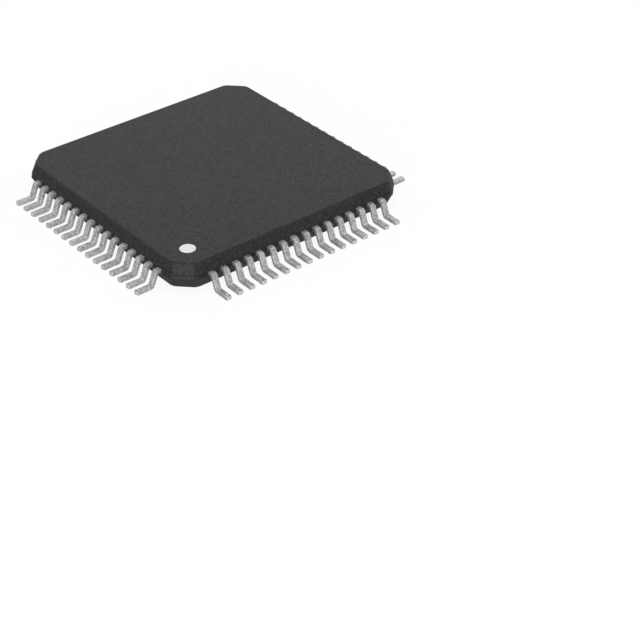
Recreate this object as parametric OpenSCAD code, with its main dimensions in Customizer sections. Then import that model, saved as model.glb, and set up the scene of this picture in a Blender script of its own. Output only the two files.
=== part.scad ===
// Thin quad flat package: a moulded chip with gull-wing leads and an exposed thermal pad.
// The origin is the middle of the seating plane, +Z points away from the board, and
// lead 1 is the first lead after the marked corner on the -Y side, counting anticlockwise from above.

/* [Body] */
// Width of the moulded body across its parting band, the same both ways
body_w = 10; // [9.6:0.2:13]
// Thickness of the moulded body
body_t = 1; // [0.9:0.05:1.4]
// Gap between the seating plane and the underside of the body
standoff = 0.08; // [0.06:0.01:0.15]
// Leg of the 45 degree cut at each corner of the body
corner_cut = 0.64; // [0.5:0.01:0.9]
// Draft of the mould walls above the parting band, in degrees from upright
upper_draft = 18; // [8:1:24]
// Draft of the mould walls below the parting band, in degrees from upright
lower_draft = 21; // [8:1:26]
// How far a corner cut leans in, as a share of how far the sides beside it do
cut_lean_share = 1.25; // [1.1:0.05:1.5]
// Radius of the upright edges of the body
edge_r = 0.36; // [0.2:0.01:0.4]
// Radius of the rims round the top and bottom faces
rim_r = 0.1; // [0.04:0.01:0.14]
// How far the parting band stands proud of the walls above and below it
band_proud = 0.01; // [0.005:0.005:0.03]

/* [Leads] */
// Distance from one lead to the next along a side
lead_pitch = 0.5; // [0.5:0.01:0.54]
// Width of a lead
lead_w = 0.22; // [0.17:0.01:0.27]
// Thickness of the stamped sheet that leads, tie bars and pad are cut from
sheet_t = 0.13; // [0.1:0.01:0.16]
// Distance from the body's parting band to the end of a foot
lead_reach = 1; // [0.9:0.05:1.3]
// Straight stub between the parting band and the shoulder bend
stub_l = 0.08; // [0.04:0.01:0.12]
// Angle that a lead's leg makes with the board, in degrees
leg_angle = 68; // [62:1:82]
// Inside radius of the shoulder bend
shoulder_r = 0.04; // [0.03:0.01:0.08]
// Inside radius of the heel bend
heel_r = 0.06; // [0.03:0.01:0.1]

/* [Fingers inside the body] */
// Distance from one finger tip to the next
tip_pitch = 0.33; // [0.3:0.01:0.36]
// Width of a finger at its tip
tip_w = 0.18; // [0.14:0.01:0.2]
// Distance from the edge of the pad, seen from above, to the finger tips
tip_gap = 0.55; // [0.4:0.05:0.7]
// Length of the straight bonding land at a finger's tip
land_l = 0.3; // [0.24:0.02:0.4]
// Length of the straight shank between the parting band and the fanned part
shank_l = 0.3; // [0.2:0.05:0.5]

/* [Thermal pad] */
// Width of the exposed pad
pad_w = 5; // [4:0.1:5.4]
// How far the pad's face stands proud of the body's underside
pad_proud = 0.02; // [0.01:0.01:0.04]
// Width of the tie bars that leave the pad at its corners
bar_w = 0.27; // [0.24:0.01:0.32]
// Width of a tie bar at its neck beside the pad
neck_w = 0.22; // [0.16:0.01:0.24]
// Length of each bar that shows as an ear beyond the pad's corner
ear_l = 0.07; // [0.04:0.01:0.14]
// Slope of the bars where they rise to the leads' level, in degrees
bar_slope = 50; // [40:1:65]
// Compound left between a bar's end and the corner of the body
bar_cover = 0.15; // [0.08:0.01:0.3]

/* [Die and bond wires] */
// Width of the silicon die
die_w = 3.4; // [2.8:0.1:4]
// Thickness of the silicon die
die_t = 0.25; // [0.18:0.01:0.3]
// Thickness of the adhesive under the die
glue_t = 0.025; // [0.02:0.005:0.04]
// How far the adhesive squeezes out round the die
glue_out = 0.06; // [0.02:0.01:0.12]
// Distance from one bond pad to the next along the die's edge
bond_pitch = 0.2; // [0.16:0.01:0.2]
// Distance from the die's edge to the middle of its bond pads
bond_in = 0.1; // [0.07:0.01:0.16]
// Diameter of the bond wires
wire_d = 0.03; // [0.02:0.005:0.04]
// Diameter of the pressed ball at a wire's start
ball_d = 0.07; // [0.06:0.005:0.09]
// Thickness of the pressed ball
ball_t = 0.015; // [0.01:0.005:0.02]
// Length of the flattened stitch where a wire ends on its finger
stitch_l = 0.09; // [0.06:0.01:0.12]
// Height of a wire's loop above the die
loop_h = 0.24; // [0.2:0.01:0.3]

/* [Pin 1 mark] */
// Diameter of the printed dot
mark_d = 0.56; // [0.4:0.02:0.9]
// Distance from the body's sides to the middle of the dot
mark_in = 1.1; // [0.9:0.05:1.5]
// Thickness of the ink
mark_t = 0.025; // [0.01:0.005:0.04]
// Depth of the dimple that holds the ink
dimple_t = 0.03; // [0.015:0.005:0.05]
// Width of the bare rim between the ink and the dimple's wall
dimple_rim = 0.015; // [0.01:0.005:0.03]

/* [Hidden] */
// Counts of leads: they set the names of the nodes
leads_per_side = 16;
sides = 4;
leads_per_group = 4;
groups_per_side = leads_per_side / leads_per_group;
group_count = sides * groups_per_side;

function two_digits(n) = n < 10 ? str("0", n) : str(n);
function span_name(g) = str(two_digits(g * leads_per_group + 1), "_", two_digits((g + 1) * leads_per_group));
function lead_node(g) = str("leads_", span_name(g));
function wire_node(g) = str("bond_wires_", span_name(g));

// Levels above the seating plane
body_top = standoff + body_t;
sheet_bottom = standoff + body_t / 2 - sheet_t / 2;
sheet_top = sheet_bottom + sheet_t;
pad_bottom = standoff - pad_proud;
pad_top = pad_bottom + sheet_t;
die_bottom = pad_top + glue_t;
die_top = die_bottom + die_t;
cut_over = body_t / 2;

// Half widths of the body at the band and where the walls start, and the height of either wall
band_half = body_w / 2;
wall_half = band_half - band_proud;
wall_h = sheet_bottom - standoff;
corner_reach = sqrt(2) * band_half - corner_cut / sqrt(2);
rim_steps = 3;
edge_steps = 4;

// Places along a lead, measured out from the middle of the package
tip_x = pad_w / 2 + tip_gap;
fan_in_x = tip_x + land_l;
fan_out_x = band_half - shank_l;
shoulder_x = band_half + stub_l;
foot_x = band_half + lead_reach;
shoulder_out = shoulder_r + sheet_t;
leg_l = (sheet_bottom - (shoulder_out + heel_r) * (1 - cos(leg_angle))) / sin(leg_angle);
heel_x = shoulder_x + (shoulder_out + heel_r) * sin(leg_angle) + leg_l * cos(leg_angle);
bend_steps = 6;

// Places along a tie bar, measured out from the middle of the pad
neck_x = pad_w / sqrt(2);
ear_x = neck_x + ear_l;
rise_x = ear_x + (sheet_bottom - pad_bottom) / tan(bar_slope);
bar_x = corner_reach - bar_cover;
fold_back = sheet_t * tan(bar_slope / 2);

// Bond wires
wire_r = wire_d / 2;
wire_sides = 6;
wire_steps = 5;
bond_x = die_w / 2 - bond_in;
stitch_x = tip_x + land_l / 2;

mold_color = [0.27, 0.27, 0.28];
tin_color = [0.7, 0.7, 0.71];
pad_color = [0.86, 0.86, 0.87];
die_color = [0.45, 0.47, 0.52];
glue_color = [0.75, 0.75, 0.73];
ink_color = [0.93, 0.93, 0.93];
wire_color = [0.85, 0.68, 0.3];

// How far lead k lies to one side of its row's middle, for a given pitch
function row_place(k, pitch) = (k - (leads_per_side - 1) / 2) * pitch;

// Everything that belongs to one side is drawn with +X outwards and then turned to its side
module on_side(s) {
    rotate([0, 0, 90 * (s - 1)])
        children();
}

// One level of the body: a square with cut corners and rounded edges, its sides half away from the axis
function body_ring(half, z) =
    let (
        inset = band_half - half,
        reach = corner_reach - cut_lean_share * inset,
        near = half - edge_r,
        far = sqrt(2) * (reach - edge_r) - near
    )
    [for (q = [0 : 3], side = [0, 1], i = [0 : edge_steps])
        let (
            a = side * 45 + i * 45 / edge_steps,
            x = (side == 0 ? near : far) + edge_r * cos(a),
            y = (side == 0 ? far : near) + edge_r * sin(a)
        )
        [x * cos(90 * q) - y * sin(90 * q), x * sin(90 * q) + y * cos(90 * q), z]];

function flip(point) = [point[0], -point[1]];

// Point i of the rim's arc over a wall of a given draft, as a half width and a depth below the face
function rim_point(i, draft) =
    let (
        a = 90 - i * (90 - draft) / rim_steps,
        middle = wall_half - tan(draft) * (wall_h - rim_r * (1 - sin(draft))) - rim_r * cos(draft)
    )
    [middle + rim_r * cos(a), rim_r * (1 - sin(a))];

// The wall's outline as pairs of half width and level, from the bottom rim to the top rim
lower_rim = [for (i = [0 : rim_steps]) [0, standoff] + rim_point(i, lower_draft)];
upper_rim = [for (i = [rim_steps : -1 : 0]) [0, body_top] + flip(rim_point(i, upper_draft))];
wall_outline = concat(
    lower_rim,
    [[wall_half, sheet_bottom], [band_half, sheet_bottom]],
    [[band_half, sheet_top], [wall_half, sheet_top]],
    upper_rim
);

// A skin over equal rings of points, closed at both ends
module skin(rings) {
    n = len(rings[0]);
    last = len(rings) - 1;
    points = [for (ring = rings, p = ring) p];
    walls = [for (r = [0 : last - 1], i = [0 : n - 1])
        [r * n + i, (r + 1) * n + i, (r + 1) * n + (i + 1) % n, r * n + (i + 1) % n]];
    bottom = [for (i = [0 : n - 1]) i];
    top = [for (i = [n - 1 : -1 : 0]) last * n + i];
    polyhedron(points, concat([bottom, top], walls), convexity = 4);
}

module body_form() {
    skin([for (level = wall_outline) body_ring(level[0], level[1])]);
}

module dimple() {
    translate([mark_in - band_half, mark_in - band_half, body_top - dimple_t])
        cylinder(h = dimple_t + cut_over, d = mark_d + 2 * dimple_rim, $fn = 64);
}

// Stamped outline of lead k: bonding land, fanned finger, shank and the strip that is formed outside
module lead_outline(k) {
    tip = row_place(k, tip_pitch);
    exit = row_place(k, lead_pitch);
    polygon([
        [tip_x, tip - tip_w / 2],
        [fan_in_x, tip - tip_w / 2],
        [fan_out_x, exit - lead_w / 2],
        [foot_x, exit - lead_w / 2],
        [foot_x, exit + lead_w / 2],
        [fan_out_x, exit + lead_w / 2],
        [fan_in_x, tip + tip_w / 2],
        [tip_x, tip + tip_w / 2]
    ]);
}

// Points of a bend from one angle to another round a middle
function bend(middle, r, from, to) =
    [for (i = [0 : bend_steps])
        let (a = from + i * (to - from) / bend_steps)
        middle + r * [cos(a), sin(a)]];

// Side view of the formed strip: flat, shoulder, leg, heel and foot
module lead_profile() {
    shoulder = [shoulder_x, sheet_top - shoulder_out];
    heel = [heel_x, sheet_t + heel_r];
    polygon(concat(
        [[tip_x - tip_gap / 2, sheet_top]],
        bend(shoulder, shoulder_out, 90, 90 - leg_angle),
        bend(heel, heel_r, 270 - leg_angle, 270),
        [[foot_x, sheet_t], [foot_x, 0]],
        bend(heel, heel_r + sheet_t, 270, 270 - leg_angle),
        bend(shoulder, shoulder_r, 90 - leg_angle, 90),
        [[tip_x - tip_gap / 2, sheet_bottom]]
    ));
}

// A lead is what the stamped outline and the formed profile share
module lead_group(g) {
    s = floor(g / groups_per_side);
    first = (g % groups_per_side) * leads_per_group;
    color(tin_color)
        on_side(s)
            intersection() {
                linear_extrude(height = body_top)
                    for (k = [first : first + leads_per_group - 1])
                        lead_outline(k);
                rotate([90, 0, 0])
                    linear_extrude(height = body_w, center = true)
                        lead_profile();
            }
}

module embedded_fingers() {
    for (s = [0 : sides - 1])
        on_side(s)
            translate([0, 0, sheet_bottom])
                linear_extrude(height = sheet_t)
                    for (k = [0 : leads_per_side - 1])
                        lead_outline(k);
}

// Side view of a tie bar: flat with the pad, up the slope, and flat at the leads' level
module bar_profile() {
    polygon([
        [0, pad_bottom],
        [ear_x, pad_bottom],
        [rise_x, sheet_bottom],
        [bar_x, sheet_bottom],
        [bar_x, sheet_top],
        [rise_x - fold_back, sheet_top],
        [ear_x - fold_back, pad_top],
        [0, pad_top]
    ]);
}

// Stamped outline of a tie bar: narrow at its neck and wider from the ear on
module bar_outline() {
    polygon([
        [0, -neck_w / 2],
        [neck_x, -neck_w / 2],
        [ear_x, -bar_w / 2],
        [bar_x, -bar_w / 2],
        [bar_x, bar_w / 2],
        [ear_x, bar_w / 2],
        [neck_x, neck_w / 2],
        [0, neck_w / 2]
    ]);
}

module tie_bar() {
    intersection() {
        linear_extrude(height = body_top)
            bar_outline();
        rotate([90, 0, 0])
            linear_extrude(height = pad_w, center = true)
                bar_profile();
    }
}

module pad_form() {
    translate([0, 0, pad_bottom])
        linear_extrude(height = sheet_t)
            square([pad_w, pad_w], center = true);
    for (q = [0 : sides - 1])
        rotate([0, 0, 45 + 90 * q])
            tie_bar();
}

module die_pad() {
    color(pad_color)
        pad_form();
}

module die_attach() {
    glue_w = die_w + 2 * glue_out;
    color(glue_color)
        translate([0, 0, pad_top])
            linear_extrude(height = glue_t)
                square([glue_w, glue_w], center = true);
}

module silicon_die() {
    color(die_color)
        translate([0, 0, die_bottom])
            linear_extrude(height = die_t)
                square([die_w, die_w], center = true);
}

// A point of the loop: up from the ball, over, and down to the finger, as a cubic Bezier curve
function loop_point(t, reach) =
    let (
        start = [0, die_top + ball_t],
        end = [reach, sheet_top],
        rise = [0, die_top + loop_h],
        over = [reach / 2, sheet_top + loop_h]
    )
    pow(1 - t, 3) * start + 3 * t * pow(1 - t, 2) * rise + 3 * t * t * (1 - t) * over + pow(t, 3) * end;

// A ring of the wire in its upright plane, tilted by lean degrees from the horizontal
function wire_ring(from, along, place, r, lean, length) =
    [for (j = [0 : wire_sides - 1])
        let (
            a = 360 * j / wire_sides,
            aside = r * cos(a),
            u = place[0] - length / 2 * sin(a) * cos(lean),
            z = place[1] + length / 2 * sin(a) * sin(lean)
        )
        [from[0] + u * along[0] - aside * along[1], from[1] + u * along[1] + aside * along[0], z]];

function lean_at(t, reach) =
    let (step = loop_point(t + 1 / wire_steps / 2, reach) - loop_point(t - 1 / wire_steps / 2, reach))
    atan2(step[0], step[1]);

// A wire: the pressed ball on the die, the loop, and the flattened stitch on the finger
module bond_wire(k) {
    from = [bond_x, row_place(k, bond_pitch)];
    to = [stitch_x, row_place(k, tip_pitch)];
    reach = norm(to - from);
    along = (to - from) / reach;
    skin(concat(
        [for (z = [die_top, die_top + ball_t]) wire_ring(from, along, [0, z], ball_d / 2, 0, ball_d)],
        [wire_ring(from, along, loop_point(0, reach), wire_r, 0, wire_d)],
        [for (i = [1 : wire_steps - 1])
            let (t = i / wire_steps)
            wire_ring(from, along, loop_point(t, reach), wire_r, lean_at(t, reach), wire_d)],
        [wire_ring(from, along, loop_point(1, reach), wire_r, 180, stitch_l)]
    ));
}

module wires_of(s, first, last) {
    on_side(s)
        for (k = [first : last])
            bond_wire(k);
}

module wire_group(g) {
    s = floor(g / groups_per_side);
    first = (g % groups_per_side) * leads_per_group;
    color(wire_color)
        wires_of(s, first, first + leads_per_group - 1);
}

module pin_1_mark() {
    color(ink_color)
        translate([mark_in - band_half, mark_in - band_half, body_top - dimple_t])
            cylinder(h = mark_t, d = mark_d, $fn = 64);
}

// The compound fills the mould round everything that it holds
module mold_body() {
    color(mold_color)
        difference() {
            body_form();
            dimple();
            embedded_fingers();
            pad_form();
            die_attach();
            silicon_die();
            for (s = [0 : sides - 1])
                wires_of(s, 0, leads_per_side - 1);
        }
}

mold_body();
die_pad();
silicon_die();
die_attach();
pin_1_mark();
for (g = [0 : group_count - 1]) {
    lead_group(g);
    wire_group(g);
}
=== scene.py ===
# A moulded chip with gull-wing leads and an exposed thermal pad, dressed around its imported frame.
# Lengths in the dictionaries are in millimetres, as on a drawing, unless a note says otherwise.
import math

import bpy
import numpy as np
from mathutils import Matrix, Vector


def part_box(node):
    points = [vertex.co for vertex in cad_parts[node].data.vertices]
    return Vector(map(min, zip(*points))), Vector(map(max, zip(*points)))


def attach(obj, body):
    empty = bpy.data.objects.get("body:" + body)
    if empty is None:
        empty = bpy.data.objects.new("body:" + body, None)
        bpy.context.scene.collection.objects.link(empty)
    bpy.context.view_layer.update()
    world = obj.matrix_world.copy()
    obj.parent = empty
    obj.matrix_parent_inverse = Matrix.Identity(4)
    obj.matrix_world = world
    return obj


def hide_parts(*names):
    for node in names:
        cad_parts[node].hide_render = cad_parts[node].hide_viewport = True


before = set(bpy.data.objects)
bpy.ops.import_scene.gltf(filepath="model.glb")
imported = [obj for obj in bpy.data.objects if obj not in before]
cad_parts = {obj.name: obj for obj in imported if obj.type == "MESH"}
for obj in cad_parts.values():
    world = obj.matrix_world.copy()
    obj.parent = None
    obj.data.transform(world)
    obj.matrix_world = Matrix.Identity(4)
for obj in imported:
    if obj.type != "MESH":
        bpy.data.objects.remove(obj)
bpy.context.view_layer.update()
mm = 0.001  # metres in a millimetre
print("frame loaded with", len(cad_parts), "nodes")


# Lowest and highest corner of a CAD node, in millimetres
def nodeBox(name):
    low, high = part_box(name)
    return np.array(low) / mm, np.array(high) / mm


bodyLow, bodyHigh = nodeBox("mold_body")
markLow, markHigh = nodeBox("pin_1_mark")
leadLow, leadHigh = nodeBox("leads_01_04")
padUnder = nodeBox("die_pad")[0][2]
bandHalf = bodyHigh[0]
standoff = bodyLow[2]
bodyTop = bodyHigh[2]
sheetTop = leadHigh[2]
sheetThick = 2 * sheetTop - standoff - bodyTop  # the sheet lies midway up the body
sheetBottom = sheetTop - sheetThick
tipX, footX = -leadHigh[1], -leadLow[1]  # how far out the leads begin and end
leadNames = sorted(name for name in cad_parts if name.startswith("leads_"))
wireNames = sorted(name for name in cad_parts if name.startswith("bond_wires_"))


# One output of a material's nodes. Arithmetic on it adds Math nodes.
class Field:
    def __init__(self, finish, socket):
        self.finish = finish
        self.socket = socket

    def out(self, name):
        return Field(self.finish, self.socket.node.outputs[name])

    def math(self, operation, *values):
        return self.finish.node("ShaderNodeMath", {"operation": operation}, dict(enumerate(values)))

    def __add__(self, other):
        return self.math("ADD", self, other)

    def __radd__(self, other):
        return self.math("ADD", other, self)

    def __sub__(self, other):
        return self.math("SUBTRACT", self, other)

    def __rsub__(self, other):
        return self.math("SUBTRACT", other, self)

    def __mul__(self, other):
        return self.math("MULTIPLY", self, other)

    def __rmul__(self, other):
        return self.math("MULTIPLY", other, self)

    def __truediv__(self, other):
        return self.math("DIVIDE", self, other)

    def __rtruediv__(self, other):
        return self.math("DIVIDE", other, self)

    def above(self, edge, soft):  # 0 below the edge and 1 above it, blended over soft
        inputs = {"Value": self, "From Min": edge - soft / 2, "From Max": edge + soft / 2}
        return self.finish.node("ShaderNodeMapRange", {"interpolation_type": "SMOOTHSTEP"}, inputs)


# The nodes of one material, or of the world
class Finish:
    def __init__(self, owner):
        owner.use_nodes = True
        self.owner = owner
        self.tree = owner.node_tree
        self.tree.nodes.clear()

    # Any node: its type, its settings, then the values or links of its sockets
    def node(self, kind, settings, inputs, output=0):
        made = self.tree.nodes.new(kind)
        for name, value in settings.items():
            setattr(made, name, value)
        for name, value in inputs.items():
            if isinstance(value, Field):
                self.tree.links.new(value.socket, made.inputs[name])
            else:
                made.inputs[name].default_value = value
        return Field(self, made.outputs[output]) if len(made.outputs) else None

    def millimetres(self):
        where = self.node("ShaderNodeTexCoord", {}, {}, "Object")
        settings = {"operation": "SCALE"}
        return self.node("ShaderNodeVectorMath", settings, {"Vector": where, "Scale": 1 / mm})

    def noise(self, vector, perMm, detail=2.0, roughness=0.5):
        inputs = {"Vector": vector, "Scale": perMm, "Detail": detail, "Roughness": roughness}
        return self.node("ShaderNodeTexNoise", {}, inputs)

    # A Mix node's colours are its inputs 6 and 7 and its output 2
    def blend(self, factor, first, second):
        inputs = {0: factor, 6: (*first, 1) if isinstance(first, tuple) else first}
        inputs[7] = (*second, 1) if isinstance(second, tuple) else second
        return self.node("ShaderNodeMix", {"data_type": "RGBA"}, inputs, 2)

    def bump(self, height, depth):
        inputs = {"Height": height, "Distance": depth * mm, "Strength": 1.0}
        return self.node("ShaderNodeBump", {}, inputs)

    def surface(self, sockets):
        shader = self.node("ShaderNodeBsdfPrincipled", {}, sockets)
        self.node("ShaderNodeOutputMaterial", {}, {"Surface": shader})
        return self.owner


def newMaterial(name):
    return Finish(bpy.data.materials.new(name))


noiseMean = 0.5  # what a noise swings about

# Mould compound: black epoxy with mineral filler, spark-eroded grain from the mould
compoundLook = {
    "dark": (0.0064, 0.0064, 0.0066),
    "light": (0.0320, 0.0320, 0.0324),
    "softness": 0.26,  # of the step from dark to light
    "grainPerMm": 11.5,
    "specklePerMm": 31.05,
    "mottlePerMm": 0.8,
    "grainShare": 0.6,
    "mottleShare": 0.06,
    "bumpGrainShare": 0.6,
    "grainDepth": 0.007,
    "roughness": 0.51,
    "roughnessSwing": 0.16,
    "specular": 0.25,
}


def compoundMaterial():
    look = compoundLook
    finish = newMaterial("mold_compound")
    place = finish.millimetres()
    grain = finish.noise(place, look["grainPerMm"], detail=3.0, roughness=0.6)
    mottle = finish.noise(place, look["mottlePerMm"])
    speckle = finish.noise(place, look["specklePerMm"])
    speckleShare = 1 - look["grainShare"] - look["mottleShare"]
    mixed = grain * look["grainShare"] + speckle * speckleShare + mottle * look["mottleShare"]
    shade = mixed.above(noiseMean, look["softness"])
    height = grain * look["bumpGrainShare"] + speckle * (1 - look["bumpGrainShare"])
    return finish.surface({
        "Base Color": finish.blend(shade, look["dark"], look["light"]),
        "Roughness": look["roughness"] + look["roughnessSwing"] * (speckle - noiseMean),
        "Specular IOR Level": look["specular"],
        "Normal": finish.bump(height, look["grainDepth"]),
    })


# Matt tin plating: fine mottled crystals, painted shade on the shoulders beside the body, painted
# highlights on the cut ends, and paler soles
tinLook = {
    "dull": (0.325, 0.325, 0.33),
    "bright": (0.73, 0.73, 0.74),
    "softness": 0.24,
    "crystalsPerMm": 21.0,
    "patchesPerMm": 6.0,
    "crystalShare": 0.7,
    "grainDepth": 0.005,
    "cut": (0.70, 0.70, 0.71),  # painted highlight on the sheared ends of the feet, paler where they catch the light
    "cutDepth": 0.012,
    "paintedShade": (0.27, 0.27, 0.272),  # painted shade on the leads beside the body, where the body shades them
    "paintedShadeReach": 0.22,
    "paintedShadeShare": 0.36,
    "sole": (0.86, 0.86, 0.87),
    "soleLevel": 0.008,
    "soleSoftness": 0.01,
    "soleShare": 0.8,
    "metallic": 0.85,
    "roughness": 0.55,
    "roughnessSwing": 0.16,
}


def tinMaterial():
    look = tinLook
    finish = newMaterial("matt_tin")
    place = finish.millimetres()
    crystals = finish.noise(place, look["crystalsPerMm"], detail=3.0, roughness=0.65)
    patches = finish.noise(place, look["patchesPerMm"])
    across = finish.node("ShaderNodeSeparateXYZ", {}, {"Vector": place}, "X")
    sideways = across.math("ABSOLUTE", across)
    lengthways = across.math("ABSOLUTE", across.out("Y"))
    reach = across.math("MAXIMUM", sideways, lengthways)
    # Painted highlight: the ends of the feet are lighter in colour where light falls on them
    cut = reach.above(footX - look["cutDepth"], look["cutDepth"])
    sole = 1 - across.out("Z").above(look["soleLevel"], look["soleSoftness"])
    # Painted shade: the leads are darker within reach of the body, where the body shades them
    paintedShade = 1 - reach.above(bandHalf + look["paintedShadeReach"], look["paintedShadeReach"])
    mixed = crystals * look["crystalShare"] + patches * (1 - look["crystalShare"])
    plated = finish.blend(mixed.above(noiseMean, look["softness"]), look["dull"], look["bright"])
    plated = finish.blend(paintedShade * look["paintedShadeShare"], plated, look["paintedShade"])
    plated = finish.blend(cut, plated, look["cut"])
    return finish.surface({
        "Base Color": finish.blend(sole * look["soleShare"], plated, look["sole"]),
        "Metallic": look["metallic"],
        "Roughness": look["roughness"] + look["roughnessSwing"] * (crystals - noiseMean),
        "Normal": finish.bump(mixed, look["grainDepth"]),
    })


# Plated pad: almost white, with a faint cloudy mottle
padLook = {
    "dull": (0.80, 0.81, 0.82),
    "bright": (0.92, 0.925, 0.93),
    "softness": 0.4,
    "cloudsPerMm": 1.6,
    "grainPerMm": 18.0,
    "cloudShare": 0.5,
    "grainDepth": 0.0016,
    "metallic": 1.0,
    "roughness": 0.42,
    "roughnessSwing": 0.12,
}


def padMaterial():
    look = padLook
    finish = newMaterial("plated_pad")
    place = finish.millimetres()
    clouds = finish.noise(place, look["cloudsPerMm"], detail=3.0)
    grain = finish.noise(place, look["grainPerMm"], detail=3.0, roughness=0.6)
    mixed = clouds * look["cloudShare"] + grain * (1 - look["cloudShare"])
    shade = mixed.above(noiseMean, look["softness"])
    return finish.surface({
        "Base Color": finish.blend(shade, look["dull"], look["bright"]),
        "Metallic": look["metallic"],
        "Roughness": look["roughness"] + look["roughnessSwing"] * (grain - noiseMean),
        "Normal": finish.bump(grain, look["grainDepth"]),
    })


# White marking ink: chalky, with the compound's grain printing through it
inkLook = {
    "thin": (0.66, 0.66, 0.67),
    "thick": (0.80, 0.80, 0.81),
    "thickAbove": 0.46,
    "softness": 0.3,
    "grainPerMm": 16.0,
    "cloudsPerMm": 3.2,
    "grainShare": 0.6,
    "grainDepth": 0.002,
    "roughness": 0.55,
    "roughnessSwing": 0.15,
}


def inkMaterial():
    look = inkLook
    finish = newMaterial("white_ink")
    place = finish.millimetres()
    grain = finish.noise(place, look["grainPerMm"], detail=3.0, roughness=0.6)
    clouds = finish.noise(place, look["cloudsPerMm"])
    mixed = grain * look["grainShare"] + clouds * (1 - look["grainShare"])
    shade = mixed.above(look["thickAbove"], look["softness"])
    return finish.surface({
        "Base Color": finish.blend(shade, look["thin"], look["thick"]),
        "Roughness": look["roughness"] + look["roughnessSwing"] * (grain - noiseMean),
        "Normal": finish.bump(grain, look["grainDepth"]),
    })


# Silicon: slate blue blocks of circuitry inside a bare sawn margin
siliconLook = {
    "bare": (0.16, 0.17, 0.19),
    "circuit": (0.22, 0.25, 0.34),
    "metal": (0.42, 0.38, 0.34),
    "blocksPerMm": 2.2,
    "blockRandomness": 0.7,
    "blockEdge": 0.42,
    "blockSoftness": 0.04,
    "blockShare": 0.6,
    "linesPerMm": 14.0,
    "lineRandomness": 0.3,
    "lineEdge": 0.4,
    "lineSoftness": 0.1,
    "lineDepth": 0.001,
    "margin": 0.16,
    "marginSoftness": 0.02,
    "metallic": 0.35,
    "roughness": 0.24,
    "roughnessSwing": 0.1,
}


# Squarish cells on the die's plane, as the distance to the middle of each
def chipCells(finish, place, perMm, randomness):
    settings = {"distance": "CHEBYCHEV", "voronoi_dimensions": "2D"}
    inputs = {"Vector": place, "Scale": perMm, "Randomness": randomness}
    return finish.node("ShaderNodeTexVoronoi", settings, inputs, "Distance")


def siliconMaterial():
    look = siliconLook
    dieHigh = nodeBox("silicon_die")[1]
    finish = newMaterial("silicon")
    place = finish.millimetres()
    block = chipCells(finish, place, look["blocksPerMm"], look["blockRandomness"])
    lines = chipCells(finish, place, look["linesPerMm"], look["lineRandomness"])
    axes = finish.node("ShaderNodeSeparateXYZ", {}, {"Vector": place}, "X")
    across = axes.math("ABSOLUTE", axes)
    along = axes.math("ABSOLUTE", axes.out("Y"))
    reach = across.math("MAXIMUM", across, along)
    inside = 1 - reach.above(dieHigh[0] - look["margin"], look["marginSoftness"])
    line = lines.above(look["lineEdge"], look["lineSoftness"])
    circuit = finish.blend(line, look["circuit"], look["metal"])
    gap = block.above(look["blockEdge"], look["blockSoftness"]) * look["blockShare"]
    blocks = finish.blend(gap, circuit, look["bare"])
    grain = finish.noise(place, look["linesPerMm"] * 2)
    return finish.surface({
        "Base Color": finish.blend(inside, look["bare"], blocks),
        "Metallic": look["metallic"],
        "Roughness": look["roughness"] + look["roughnessSwing"] * grain,
        "Normal": finish.bump(lines * inside, look["lineDepth"]),
    })


# Die adhesive: grey resin filled with silver flakes
adhesiveLook = {
    "resin": (0.30, 0.30, 0.29),
    "flake": (0.75, 0.75, 0.73),
    "flakesPerMm": 26.0,
    "flakeEdge": 0.42,
    "flakeSoftness": 0.3,
    "flakeDepth": 0.002,
    "flakeMetallic": 0.8,
    "roughness": 0.62,
    "flakeGloss": 0.25,
}


def adhesiveMaterial():
    look = adhesiveLook
    finish = newMaterial("die_adhesive")
    place = finish.millimetres()
    inputs = {"Vector": place, "Scale": look["flakesPerMm"]}
    flakes = finish.node("ShaderNodeTexVoronoi", {}, inputs, "Distance")
    shine = 1 - flakes.above(look["flakeEdge"], look["flakeSoftness"])
    return finish.surface({
        "Base Color": finish.blend(shine, look["resin"], look["flake"]),
        "Metallic": shine * look["flakeMetallic"],
        "Roughness": look["roughness"] - look["flakeGloss"] * shine,
        "Normal": finish.bump(flakes, look["flakeDepth"]),
    })


# Gold bond wire: drawn, with faint lines along it
wireLook = {
    "deep": (0.72, 0.47, 0.14),
    "light": (0.98, 0.74, 0.34),
    "softness": 0.5,
    "linesPerMm": 60.0,
    "lineDepth": 0.0006,
    "metallic": 1.0,
    "roughness": 0.22,
    "roughnessSwing": 0.2,
}


def wireMaterial():
    look = wireLook
    finish = newMaterial("bond_wire")
    drawn = finish.noise(finish.millimetres(), look["linesPerMm"])
    shade = drawn.above(noiseMean, look["softness"])
    return finish.surface({
        "Base Color": finish.blend(shade, look["deep"], look["light"]),
        "Metallic": look["metallic"],
        "Roughness": look["roughness"] + look["roughnessSwing"] * drawn,
        "Normal": finish.bump(drawn, look["lineDepth"]),
    })


sharpAngle = 40.0  # degrees between two faces from which their edge is shaded as a sharp one
holdShare = 0.2  # how far beyond an arc's end a point keeps the flat flat, in the arc's radius


# Matrix that turns rows of points anticlockwise, seen from above
def spin(degrees):
    a = math.radians(degrees)
    return np.array([[math.cos(a), math.sin(a), 0], [-math.sin(a), math.cos(a), 0], [0, 0, 1]])


# A closed skin over rings of points, an array of rings x points x 3 in millimetres. Quad i of a
# band joins points i and i + 1 of one ring to the same points of the next, and a fan of
# triangles closes each end on the middle of its ring. Every ring runs anticlockwise round the
# direction that the rings advance in, so that faces point outwards.
def skinFaces(ringCount, pointCount, start=0):
    here = np.arange(pointCount)
    after = (here + 1) % pointCount
    low = start + pointCount * np.arange(ringCount - 1)[:, None]
    high = low + pointCount
    quads = np.stack([low + here, low + after, high + after, high + here], axis=-1).reshape(-1, 4)
    last = start + pointCount * (ringCount - 1)
    firstPole = start + pointCount * ringCount
    fanA = np.stack([after + start, here + start, np.full(pointCount, firstPole)], axis=-1)
    fanB = np.stack([here + last, after + last, np.full(pointCount, firstPole + 1)], axis=-1)
    return quads.tolist() + fanA.tolist() + fanB.tolist()


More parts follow.
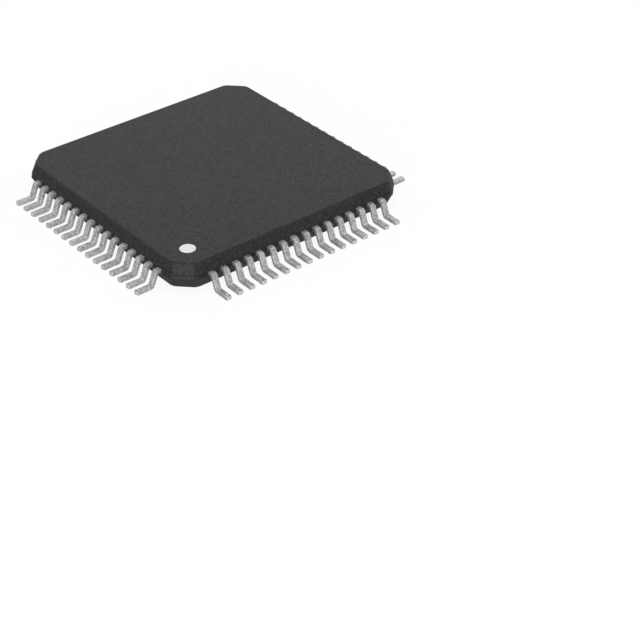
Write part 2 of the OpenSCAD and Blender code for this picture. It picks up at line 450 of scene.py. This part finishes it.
# Adds several skins to one mesh object, its place in its mesh and in metres
def skinPiece(name, skins, material, standsFor):
    points, faces = [], []
    for rings in skins:
        ringCount, pointCount = rings.shape[:2]
        faces += skinFaces(ringCount, pointCount, sum(len(p) for p in points))
        poles = np.stack([rings[0].mean(axis=0), rings[-1].mean(axis=0)])
        points.append(np.concatenate([rings.reshape(-1, 3), poles]))
    mesh = bpy.data.meshes.new(name)
    mesh.from_pydata((np.concatenate(points) * mm).tolist(), [], faces)
    mesh.shade_smooth()
    mesh.set_sharp_from_angle(angle=math.radians(sharpAngle))
    mesh.materials.append(material)
    piece = bpy.data.objects.new(name, mesh)
    bpy.context.scene.collection.objects.link(piece)
    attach(piece, "root")
    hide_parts(*standsFor)
    return piece


# Body: drafted walls, rounded rims, a parting band with a fine groove above it, and the dimple
body = {
    "cornerCut": 0.64,
    "upperDraft": 18.0,  # degrees
    "lowerDraft": 21.0,
    "cutLeanShare": 1.25,
    "edgeRadius": 0.36,
    "rimRadius": 0.06,
    "bandProud": 0.01,
    "bandFlat": 0.022,
    "grooveDeep": 0.011,
    "grooveTall": 0.03,
    "grooveShares": [(1.0, 0.3), (0.8, 0.5)],  # its floor, as shares of its depth and height
    "dimpleRim": 0.015,
    "dimpleDeep": 0.03,
    "dimpleEdge": 0.006,
    "arcSteps": 8,
    "cutSteps": 4,
    "rimSteps": 8,
    "lipSteps": 3,
    "angleStep": 4.0,  # degrees from point to point, as the middle of the dimple sees them
    "undersideShares": [0.35, 0.7],  # rings on the underside, from its middle out
    "topShares": [0.55, 0.2],  # rings on the top face, as shares of the way from dimple to rim
}


# For half widths of the body: how far the middles of a corner's two arcs lie out and aside
def arcMiddles(halves):
    cutReach = math.sqrt(2) * bandHalf - body["cornerCut"] / math.sqrt(2)
    reach = cutReach - body["cutLeanShare"] * (bandHalf - halves)
    near = halves - body["edgeRadius"]
    return near, math.sqrt(2) * (reach - body["edgeRadius"]) - near


# Rings of the body for an array of half widths: a square with cut corners, every corner an arc.
# In each quarter come an arc at the end of one side, the cut, an arc to the next side, and that
# side, whose points lie at fixed shares of its length.
def bodyRings(halves, shares):
    radius = body["edgeRadius"]
    near, far = (middle[:, None] for middle in arcMiddles(halves))
    turn = np.radians(np.linspace(0, 45, body["arcSteps"] + 1))
    arcA = np.stack([near + radius * np.cos(turn), far + radius * np.sin(turn)], -1)
    turn = turn + np.radians(45)
    arcB = np.stack([far + radius * np.cos(turn), near + radius * np.sin(turn)], -1)
    cutShare = np.linspace(0, 1, body["cutSteps"] + 1)[1:-1, None]
    cut = arcA[:, -1:] * (1 - cutShare) + arcB[:, :1] * cutShare
    nextStart = np.stack([-far, halves[:, None]], -1)
    quarters = []
    for quarter, share in enumerate(shares):
        side = arcB[:, -1:] * (1 - share[:, None]) + nextStart * share[:, None]
        flat = np.concatenate([arcA, cut, arcB, side], axis=1)
        quarters.append(flat @ spin(90 * quarter)[:2, :2])
    return np.concatenate(quarters, axis=1)


# Shares of each side at which its points lie, so that the middle of the dimple sees them at
# equal angles: the place along a side is the distance to it times the tangent of the angle.
def sideShares(half, middle):
    far = arcMiddles(half)[1]
    shares = []
    for quarter in range(4):
        along, out = middle @ spin(-90 * quarter)[:2, :2]
        away = half - out
        first = math.atan2(far - along, away)
        last = math.atan2(-far - along, away)
        count = math.ceil((first - last) / math.radians(body["angleStep"]))
        angles = np.linspace(first, last, count + 1)[1:-1]
        shares.append((far - along - away * np.tan(angles)) / (2 * far))
    return shares


# A wall and its rim from the flat face towards the band, as half widths and depths below the
# face: the rim is an arc that ends at the slope of the draft, and the wall runs on at that slope.
# A point beside each end of the arc keeps the flats flat.
def wallLine(draft):
    rim = body["rimRadius"]
    hold = holdShare * rim
    slope = math.tan(math.radians(draft))
    turn = np.radians(np.linspace(90, draft, body["rimSteps"] + 1))
    arc = np.stack([rim * np.cos(turn), rim * (1 - np.sin(turn))], -1)
    wallHalf = bandHalf - body["bandProud"]
    rimHalf = wallHalf - slope * (sheetBottom - standoff - arc[-1, 1]) - arc[-1, 0]
    arc = arc + [rimHalf, 0]
    return np.concatenate([[[rimHalf - hold, 0]], arc, arc[-1:] + [slope * hold, hold]])


# Side view of the body from the bottom face to the top face, as half widths and levels. Above
# the parting the band first stands upright, then slopes with the upper wall up to the groove.
def bodyOutline():
    wallHalf = bandHalf - body["bandProud"]
    soft = body["bandProud"] / 4
    hold = holdShare * body["rimRadius"]
    deep, tall = body["grooveDeep"], body["grooveTall"]
    lowSlope = math.tan(math.radians(body["lowerDraft"]))
    highSlope = math.tan(math.radians(body["upperDraft"]))
    lower = wallLine(body["lowerDraft"]) + [0, standoff]
    upper = (wallLine(body["upperDraft"]) * [1, -1] + [0, bodyTop])[::-1]
    belowBand = [
        [wallHalf - lowSlope * hold, sheetBottom - hold],
        [wallHalf, sheetBottom],
        [bandHalf - soft, sheetBottom + soft / 4],
        [bandHalf, sheetBottom + soft],
        [bandHalf, sheetBottom + 2 * soft],
    ]
    turnLevel = sheetBottom + body["bandFlat"]
    lipHalf = bandHalf - highSlope * (sheetTop - turnLevel)
    aboveBand = [
        [bandHalf, turnLevel - soft],
        [bandHalf - highSlope * soft / 2, turnLevel],
        [bandHalf - highSlope * 2 * soft, turnLevel + 2 * soft],
        [lipHalf + highSlope * hold, sheetTop - hold],
        [lipHalf, sheetTop],
        *[[lipHalf - deep * inwards, sheetTop + tall * up] for inwards, up in body["grooveShares"]],
        [wallHalf - highSlope * tall - soft / 2, sheetTop + tall],
        [wallHalf - highSlope * (tall + soft), sheetTop + tall + soft],
        [wallHalf - highSlope * (tall + hold), sheetTop + tall + hold],
    ]
    return np.concatenate([lower[:1] - [[4 * hold, 0]], lower, belowBand, aboveBand, upper])


# The body's skin starts on the underside, climbs the walls, and runs in over the top face to the
# dimple. Points of the top face lie on rays: the dimple's middle plus a direction times a radius.
def moldPiece(material):
    middle = (markLow + markHigh)[:2] / 2
    outline = bodyOutline()
    shares = sideShares(outline[-1, 0], middle)
    flat = bodyRings(outline[:, 0], shares)
    levels = np.broadcast_to(outline[:, 1, None, None], (*flat.shape[:2], 1))
    walls = np.concatenate([flat, levels], axis=2)
    inwards = np.array(body["undersideShares"])[:, None, None]
    underside = np.concatenate([flat[:1] * inwards, levels[:len(inwards)]], axis=2)

    ray = flat[-1] - middle
    away = np.linalg.norm(ray, axis=1)
    ray = ray / away[:, None]
    hole = (markHigh - markLow)[0] / 2 + body["dimpleRim"]
    edge = body["dimpleEdge"]
    floor = bodyTop - body["dimpleDeep"]
    turn = np.radians(np.linspace(90, 0, body["lipSteps"] + 1))
    lip = [(hole + edge - edge * np.cos(a), bodyTop - edge + edge * np.sin(a)) for a in turn]
    foot = [(hole - edge * (1 - np.sin(a)), floor + edge * (1 - np.cos(a))) for a in turn]
    circles = [(hole + 3 * edge, bodyTop), *lip, *foot, (hole - 3 * edge, floor), (hole / 2, floor)]
    rings = [(hole + (away - hole) * share, bodyTop) for share in body["topShares"]]
    rings += [(np.full(len(away), radius), level) for radius, level in circles]
    face = [
        np.column_stack([middle + ray * radii[:, None], np.full(len(radii), level)])
        for radii, level in rings
    ]
    skin = np.concatenate([underside, walls, np.stack(face)])
    return skinPiece("molded_body", [skin], material, ["mold_body"])


# Leads: stamped from sheet, with rounded edges, bent into gull wings
lead = {
    "perSide": 16,
    "perGroup": 4,
    "pitch": 0.5,
    "width": 0.22,
    "stub": 0.08,
    "legAngle": 68.0,  # degrees to the board
    "shoulderRadius": 0.04,
    "heelRadius": 0.045,
    "tipPitch": 0.33,
    "tipWidth": 0.18,
    "land": 0.3,
    "shank": 0.3,
    "cornerRadius": 0.016,
    "endLength": 0.06,
    "endNarrowing": 0.055,
    "endThinning": 0.015,
    "bendSteps": 8,
    "runSteps": 4,
    "cornerSteps": 3,
    "endAngles": [0, 25, 50, 70, 85],  # degrees round the quarter circle that closes an end
    "gapShare": 0.1,  # between stations beside a bend, as a share of the sheet's thickness
}


# Rings of a strip that follows a path in the u-z plane, with its side to side place and half
# width given along it. At each station a rectangle with rounded corners stands square to the
# path: point = station + side * lateral + height * normal. Over its last stretch at either end
# the section narrows and thins along a quarter circle.
def stripRings(u, z, middle, halfWidth, halfThick, corner, endLength, narrowing, thinning):
    path = np.stack([u, z], -1)
    step = np.gradient(path, axis=0)
    tangent = step / np.linalg.norm(step, axis=1)[:, None]
    turn = np.radians(lead["endAngles"])
    count = len(turn)
    endStep = endLength * (1 - np.sin(turn))
    endFade = 1 - np.cos(turn)
    head = path[0] + tangent[0] * endStep[::-1, None]
    tail = path[-1] - tangent[-1] * endStep[:, None]
    path = np.concatenate([head, path[1:-1], tail])
    first, last = tangent[:1].repeat(count, 0), tangent[-1:].repeat(count, 0)
    tangent = np.concatenate([first, tangent[1:-1], last])
    fade = np.concatenate([endFade[::-1], np.zeros(len(u) - 2), endFade])
    middle = np.interp(path[:, 0], u, middle)
    halfWidth = np.interp(path[:, 0], u, halfWidth) - narrowing * fade
    halfThick = halfThick - thinning * fade
    normal = np.stack([-tangent[:, 1], tangent[:, 0]], -1)

    # The section goes round from each corner's arc to the next one's, with a point beside each
    # end of an arc that keeps the flat faces flat
    turn = np.radians(np.linspace(0, 90, lead["cornerSteps"] + 1))
    quarter = np.arange(4) * math.pi / 2
    angle = quarter[:, None] + turn
    signSide = np.sign(np.cos(quarter + math.pi / 4))[:, None]
    signHigh = np.sign(np.sin(quarter + math.pi / 4))[:, None]
    hold = holdShare * corner
    side = signSide * (halfWidth[:, None, None] - corner) + corner * np.cos(angle)
    high = signHigh * (halfThick[:, None, None] - corner) + corner * np.sin(angle)
    first, last = angle[:, :1], angle[:, -1:]
    sideFirst = side[..., :1] + hold * np.sin(first)
    highFirst = high[..., :1] - hold * np.cos(first)
    sideLast = side[..., -1:] - hold * np.sin(last)
    highLast = high[..., -1:] + hold * np.cos(last)
    side = np.concatenate([sideFirst, side, sideLast], -1).reshape(len(path), -1)
    high = np.concatenate([highFirst, high, highLast], -1).reshape(len(path), -1)
    x = path[:, :1] + normal[:, :1] * high
    y = middle[:, None] + side
    level = path[:, 1:] + normal[:, 1:] * high
    return np.stack([x, y, level], -1)


# Middle line of a formed lead: along at the sheet's level, round the shoulder, down the leg,
# round the heel and out along the board. Each bend is an arc about its own middle.
def leadPath():
    bendIn = math.radians(lead["legAngle"])
    half = sheetThick / 2
    shoulderX = bandHalf + lead["stub"]
    outer = lead["shoulderRadius"] + sheetThick
    drop = (outer + lead["heelRadius"]) * (1 - math.cos(bendIn))
    legLength = (sheetBottom - drop) / math.sin(bendIn)
    heelX = shoulderX + (outer + lead["heelRadius"]) * math.sin(bendIn)
    heelX += legLength * math.cos(bendIn)
    shoulderR = lead["shoulderRadius"] + half
    heelR = lead["heelRadius"] + half
    shoulderZ = sheetTop - outer
    heelZ = sheetThick + lead["heelRadius"]
    turn = np.linspace(0, bendIn, lead["bendSteps"] + 1)
    sweep = np.stack([np.sin(turn), np.cos(turn)])
    shoulder = np.array([[shoulderX], [shoulderZ]]) + shoulderR * sweep
    heel = np.array([[heelX], [heelZ]]) - heelR * sweep[:, ::-1]
    share = np.linspace(0, 1, lead["runSteps"] + 1)[1:-1]
    leg = shoulder[:, -1:] * (1 - share) + heel[:, :1] * share
    fanIn = tipX + lead["land"]
    fanOut = bandHalf - lead["shank"]
    fan = np.linspace(fanIn, fanOut, lead["runSteps"] + 1)[1:-1]
    gap = lead["gapShare"] * sheetThick
    land = [tipX, tipX + 4 * gap, fanIn - gap, fanIn, fanIn + gap]
    shank = [fanOut - gap, fanOut, fanOut + gap, shoulderX - gap]
    inner = np.concatenate([land, fan, shank])
    foot = np.array([heelX + gap, (heelX + footX) / 2, footX - 4 * gap, footX])
    innerZ = np.full(len(inner), sheetTop - half)
    footZ = np.full(len(foot), half)
    u = np.concatenate([inner, shoulder[0], leg[0], heel[0], foot])
    z = np.concatenate([innerZ, shoulder[1], leg[1], heel[1], footZ])
    return u, z, fanIn, fanOut


# Four leads of one side: each is a strip along the path, whose side to side place and width run
# evenly from the finger tip's to the lead's own over the fanned part
def leadPiece(name, material):
    side, place = divmod(leadNames.index(name), lead["perSide"] // lead["perGroup"])
    u, z, fanIn, fanOut = leadPath()
    halfWidth = np.interp(u, [fanIn, fanOut], [lead["tipWidth"] / 2, lead["width"] / 2])
    ends = (lead["endLength"], lead["endNarrowing"], lead["endThinning"])
    skins = []
    for k in range(place * lead["perGroup"], (place + 1) * lead["perGroup"]):
        row = k - (lead["perSide"] - 1) / 2
        middle = np.interp(u, [fanIn, fanOut], [row * lead["tipPitch"], row * lead["pitch"]])
        rings = stripRings(u, z, middle, halfWidth, sheetThick / 2, lead["cornerRadius"], *ends)
        skins.append(rings @ spin(90 * (side - 1)))
    return skinPiece("tinned_" + name, skins, material, [name])


# Thermal pad: a plate with pressed edges, and the four bars that held it in its frame
pad = {
    "width": 5.0,
    "cornerRadius": 0.03,
    "edgeRadius": 0.012,
    "edgeSteps": 4,
    "barWidth": 0.27,
    "neckWidth": 0.22,
    "earLength": 0.07,
    "barSlope": 50.0,  # degrees
    "barRootShare": 1 / 12,  # how far a bar runs into the plate, as a share of its width
    "barCover": 0.15,
    "barInset": 0.002,  # keeps the bars' faces off the plate's where they run into it
    "barEndLength": 0.018,
    "foldRadius": 0.03,
}


# The plate is a square with rounded corners, scaled ring by ring along the profile of its edge.
# Each bar is a strip: flat with the plate to its ear, then climbing, and flat again at the level
# of the leads.
def padPiece(material):
    half = pad["width"] / 2
    thick = sheetThick
    edge, corner = pad["edgeRadius"], pad["cornerRadius"]
    turn = np.radians(np.linspace(0, 90, pad["edgeSteps"] + 1))
    flatOut = [-4 * edge]
    lowerOut = -edge + edge * np.sin(turn)
    out = np.concatenate([flatOut, lowerOut, lowerOut[::-1], flatOut])
    lowerUp = edge - edge * np.cos(turn)
    up = np.concatenate([[0], lowerUp, thick - lowerUp[::-1], [thick]])
    angle = np.arange(4)[:, None] * math.pi / 2 + turn
    reach = half - corner
    sign = np.array([[1, 1], [-1, 1], [-1, -1], [1, -1]])
    x = (sign[:, :1] * reach + corner * np.cos(angle)).ravel()
    y = (sign[:, 1:] * reach + corner * np.sin(angle)).ravel()
    share = 1 + out[:, None] / half
    level = np.broadcast_to(padUnder + up[:, None], (len(out), len(x)))
    plate = np.stack([x * share, y * share, level], -1)

    neckX = half * math.sqrt(2)
    earX = neckX + pad["earLength"]
    slope = math.radians(pad["barSlope"])
    low = padUnder + thick / 2
    high = sheetBottom + thick / 2
    foldX = earX - thick / 2 * math.tan(slope / 2)
    topX = foldX + (high - low) / math.tan(slope)
    cutReach = math.sqrt(2) * bandHalf - body["cornerCut"] / math.sqrt(2)
    endX = cutReach - pad["barCover"]
    fold = pad["foldRadius"]
    foldAcross, foldUp = fold * math.cos(slope), fold * math.sin(slope)
    path = np.array([
        [neckX - pad["width"] * pad["barRootShare"], low],
        [neckX - fold, low],
        [foldX - fold, low],
        [foldX, low + foldUp / 4],
        [foldX + foldAcross, low + foldUp],
        [topX - foldAcross, high - foldUp],
        [topX, high - foldUp / 4],
        [topX + fold, high],
        [(topX + endX) / 2, high],
        [endX, high],
    ])
    width = np.interp(path[:, 0], [neckX, earX], [pad["neckWidth"], pad["barWidth"]])
    line = (path[:, 0], path[:, 1], np.zeros(len(path)))
    halfThick = thick / 2 - pad["barInset"]
    bar = stripRings(*line, width / 2, halfThick, edge, pad["barEndLength"], edge, edge)
    bars = [bar @ spin(45 + 90 * quarter) for quarter in range(4)]
    return skinPiece("plated_pad", [plate, *bars], material, ["die_pad"])


# Printed dot: a low dome of ink with a soft edge that wanders a little
dot = {
    "spread": 0.006,
    "wander": 0.003,
    "waves": [(3, 0.7, 0.5), (7, 2.1, 0.3), (13, 0.0, 0.2)],  # waves round the edge, phase, share
    "edgeRadius": 0.007,
    "edgeShare": 0.8,  # top of the edge, as a share of the ink's thickness
    "soleShare": 0.95,  # the ring on the underside, as a share of the radius
    "lastShare": 0.1,  # the dome's last ring, likewise
    "rings": 8,
    "points": 72,
    "edgeSteps": 4,
}


# Rings about the dot's middle: up the edge along a quarter circle, then over a dome that falls
# with the square of the radius
def dotPiece(material):
    middle = (markLow + markHigh)[:2] / 2
    radius = (markHigh - markLow)[0] / 2
    thick = markHigh[2] - markLow[2]
    edge = dot["edgeRadius"]
    angle = np.linspace(0, 2 * math.pi, dot["points"], endpoint=False)
    wander = sum(share * np.sin(count * angle + phase) for count, phase, share in dot["waves"])
    outer = radius + dot["spread"] + dot["wander"] * wander
    turn = np.radians(np.linspace(0, 90, dot["edgeSteps"] + 1))
    inset = edge * (1 - np.cos(turn))
    rise = thick * dot["edgeShare"] - edge + edge * np.sin(turn)
    share = np.linspace(1, dot["lastShare"], dot["rings"])[1:]
    domed = thick * (dot["edgeShare"] + (1 - dot["edgeShare"]) * (1 - share ** 2))
    radii = [outer - (1 - dot["soleShare"]) * radius, outer]
    radii += [outer - step for step in inset]
    radii += [(outer - edge) * s for s in share]
    radii = np.stack(radii)
    x = middle[0] + radii * np.cos(angle)
    y = middle[1] + radii * np.sin(angle)
    level = markLow[2] + np.array([0, 0, *rise, *domed])
    rings = np.stack([x, y, np.broadcast_to(level[:, None], x.shape)], -1)
    return skinPiece("ink_dot", [rings], material, ["pin_1_mark"])


# A CAD node whose shape is right keeps its mesh and takes a finish
def dressNode(name, material):
    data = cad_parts[name].data
    data.materials.clear()
    data.materials.append(material)


moldPiece(compoundMaterial())
print("body done")
tin = tinMaterial()
for name in leadNames:
    leadPiece(name, tin)
print("leads done")
padPiece(padMaterial())
dotPiece(inkMaterial())
dressNode("silicon_die", siliconMaterial())
dressNode("die_attach", adhesiveMaterial())
gold = wireMaterial()
for name in wireNames:
    dressNode(name, gold)
print("pad, dot, die and wires done")

# Stage: a pale floor that sweeps up into a backdrop. Only the camera sees it, and only from above,
# so the light on the part comes from the studio alone and its underside can be looked at too.
stage = {
    "innerRadius": 0.002,  # metres, as are the next three
    "flatRadius": 0.16,
    "sweepRadius": 0.10,
    "wallHeight": 0.35,
    "glow": 0.91,
    "shade": 0.09,
    "steps": 12,
    "points": 96,
}


# Points of the floor: a profile along the radius, flat, then a quarter circle, then upright,
# turned round the middle
def floorPiece():
    bend, steps, points = stage["sweepRadius"], stage["steps"], stage["points"]
    turn = np.radians(np.linspace(0, 90, steps + 1))[1:]
    flat = np.linspace(stage["innerRadius"], stage["flatRadius"], steps)
    out = np.concatenate([flat, stage["flatRadius"] + bend * np.sin(turn)])
    out = np.append(out, out[-1])
    rise = np.concatenate([np.zeros(steps), bend * (1 - np.cos(turn)), [stage["wallHeight"]]])
    angle = np.linspace(0, 2 * math.pi, points, endpoint=False)
    x = out[:, None] * np.cos(angle)
    y = out[:, None] * np.sin(angle)
    rings = np.stack([x, y, np.broadcast_to(rise[:, None], x.shape)], -1)
    # The wall stays open at its top, and the faces turn over, because they are seen from inside
    faces = [face[::-1] for face in skinFaces(len(out), points)[:-points]]
    corners = np.concatenate([rings.reshape(-1, 3), np.zeros((1, 3))])
    mesh = bpy.data.meshes.new("floor")
    mesh.from_pydata(corners.tolist(), [], faces)
    mesh.shade_smooth()
    floor = bpy.data.objects.new("floor", mesh)
    bpy.context.scene.collection.objects.link(floor)
    finish = newMaterial("pale_floor")
    glow = finish.node("ShaderNodeEmission", {}, {"Color": (1, 1, 1, 1), "Strength": stage["glow"]})
    paint = finish.node("ShaderNodeBsdfDiffuse", {}, {"Color": (*[stage["shade"]] * 3, 1)})
    both = finish.node("ShaderNodeAddShader", {}, {0: glow, 1: paint})
    clear = finish.node("ShaderNodeBsdfTransparent", {}, {})
    underneath = finish.node("ShaderNodeNewGeometry", {}, {}, "Backfacing")
    shown = finish.node("ShaderNodeMixShader", {}, {0: underneath, 1: both, 2: clear})
    finish.node("ShaderNodeOutputMaterial", {}, {"Surface": shown})
    mesh.materials.append(finish.owner)
    floor.visible_diffuse = False
    floor.visible_glossy = False
    floor.visible_shadow = False


# Unit vector towards an azimuth, counted from -Y towards +X, and an elevation, in degrees
def towards(azimuth, elevation):
    a, e = math.radians(azimuth), math.radians(elevation)
    return np.array([math.sin(a) * math.cos(e), -math.cos(a) * math.cos(e), math.sin(e)])


# Placement of something at a point that looks back along a direction, rolled by some degrees
def lookAlong(back, roll, place):
    right = np.cross([0, 0, 1], back)
    right = right / np.linalg.norm(right)
    up = np.cross(back, right)
    r = math.radians(roll)
    across = math.cos(r) * right + math.sin(r) * up
    upright = math.cos(r) * up - math.sin(r) * right
    matrix = Matrix.Identity(4)
    for row in range(3):
        matrix[row] = (across[row], upright[row], back[row], place[row])
    return matrix


# Studio: soft light that varies from the ground over the horizon to the zenith, a panel overhead
# and a low one in front. Distances and sizes of the panels are in metres, and angles in degrees.
studio = {
    "ground": 0.56,
    "groundForward": 0.28,  # how much brighter the ground is towards -Y
    "horizon": 0.86,
    "horizonBack": 0.44,  # how much brighter the horizon is towards +Y
    "horizonRight": 0.42,  # and towards +X
    "zenith": 0.70,
    "duskHeight": -0.04,  # where the ground fades into the horizon, as the sine of the elevation
    "duskSoftness": 0.24,
    "panels": [
        {"name": "overhead", "aim": (-10.0, 78.0), "away": 0.2, "size": 0.22, "watts": 0.08},
        {"name": "front", "aim": (-50.0, 9.0), "away": 0.2, "size": 0.13, "watts": 0.195},
    ],
}


def studioLight():
    world = bpy.data.worlds.new("studio")
    bpy.context.scene.world = world
    finish = Finish(world)
    direction = finish.node("ShaderNodeTexCoord", {}, {}, "Generated")
    across = finish.node("ShaderNodeSeparateXYZ", {}, {"Vector": direction}, "X")
    along, height = across.out("Y"), across.out("Z")
    ground = 1 - height.above(studio["duskHeight"], studio["duskSoftness"])
    start = studio["duskHeight"] + studio["duskSoftness"] / 2
    zenith = height.math("MAXIMUM", (height - start) / (1 - start), 0.0)
    level = ground * (studio["ground"] - studio["groundForward"] * along)
    sides = studio["horizon"] + studio["horizonBack"] * along + studio["horizonRight"] * across
    level = level + (1 - ground - zenith) * sides + zenith * studio["zenith"]
    sky = finish.node("ShaderNodeBackground", {}, {"Color": level, "Strength": 1.0})
    finish.node("ShaderNodeOutputWorld", {}, {"Surface": sky})
    for panel in studio["panels"]:
        lamp = bpy.data.lights.new(panel["name"], "AREA")
        lamp.shape = "DISK"
        lamp.size = panel["size"]
        lamp.energy = panel["watts"]
        holder = bpy.data.objects.new(panel["name"], lamp)
        bpy.context.scene.collection.objects.link(holder)
        back = towards(*panel["aim"])
        holder.matrix_world = lookAlong(back, 0.0, back * panel["away"])
        holder.visible_camera = False


# Camera: the photograph's own angle, distance and framing
view = {
    "azimuth": -39.5044,
    "elevation": 34.7817,
    "roll": 0.0414,
    "away": 65.0095,
    "partRight": -3.931,  # where the part's origin stands, right of the picture's middle
    "partUp": 4.6676,
    "sensor": 36.0,
    "focalPixels": 1776.5,
    "framePixels": 640,
    "seesFrom": 1.0,
    "seesTo": 5000.0,
}


def photoCamera():
    back = towards(view["azimuth"], view["elevation"])
    turned = lookAlong(back, view["roll"], (0, 0, 0))
    offset = np.array([-view["partRight"], -view["partUp"], view["away"]]) * mm
    place = np.array(turned.to_3x3()) @ offset
    data = bpy.data.cameras.new("photo_camera")
    data.sensor_width = view["sensor"]
    data.lens = view["focalPixels"] * view["sensor"] / view["framePixels"]
    data.clip_start = view["seesFrom"] * mm
    data.clip_end = view["seesTo"] * mm
    camera = bpy.data.objects.new("photo_camera", data)
    bpy.context.scene.collection.objects.link(camera)
    camera.matrix_world = lookAlong(back, view["roll"], place)
    bpy.context.scene.camera = camera


floorPiece()
studioLight()
photoCamera()
bpy.context.scene.view_settings.view_transform = "Standard"
print("stage, light and camera done")
